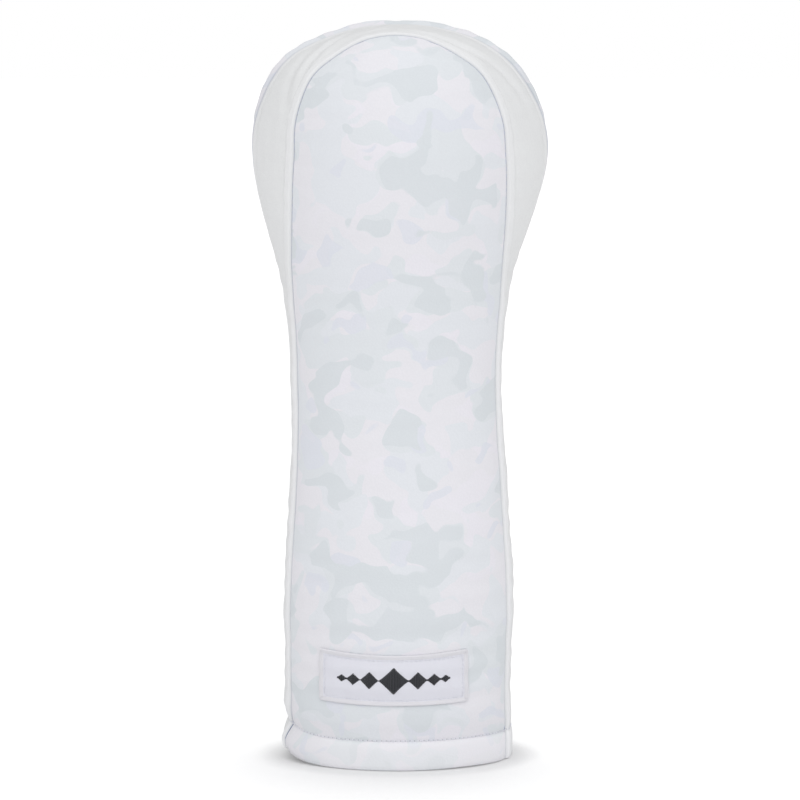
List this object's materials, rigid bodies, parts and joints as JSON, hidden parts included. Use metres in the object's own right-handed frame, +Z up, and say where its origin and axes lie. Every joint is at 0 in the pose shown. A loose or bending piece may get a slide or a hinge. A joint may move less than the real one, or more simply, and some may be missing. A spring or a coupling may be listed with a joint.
{
  "type": "driver head cover",
  "caption": "Padded sewn sock for a golf driver: domed head, narrow neck, open hemmed skirt, printed panels, plain side band and a sewn label.",
  "frame": {"origin": "middle of the cover's width and of its mouth, in the plane of the hem's lower edge", "axes": "+Z up from the open mouth to the crown, -Y out of the front panel with the label, +X to the right when looking at the front"},
  "size_m": [0.1336, 0.1064, 0.3297],
  "materials": {
    "printed_cloth": "satin coated cloth, pale camouflage print",
    "plain_cloth": "satin coated cloth, off-white",
    "foam": "open-cell padding foam",
    "fleece": "short fleece",
    "elastic_webbing": "ribbed elastic webbing",
    "thread": "polyester sewing thread",
    "label_weave": "woven label ground",
    "label_satin": "satin weave",
    "dark_embroidery": "satin stitch embroidery"
  },
  "bodies": {
    "root": {"front_panel": "printed_cloth", "back_panel": "printed_cloth", "side_gusset": "plain_cloth", "front_foam": "foam", "back_foam": "foam", "gusset_foam": "foam", "front_lining": "fleece", "back_lining": "fleece", "gusset_lining": "fleece", "neck_elastic": "elastic_webbing", "elastic_stitching": "thread", "front_seam_thread": "thread", "back_seam_thread": "thread", "lining_front_seam_thread": "thread", "lining_back_seam_thread": "thread", "hem_topstitch": "thread", "label_patch": "label_weave", "label_edging": "label_satin", "label_motif": "dark_embroidery", "label_stitching": "thread", "care_tag": "label_satin"}
  },
  "joints": []
}
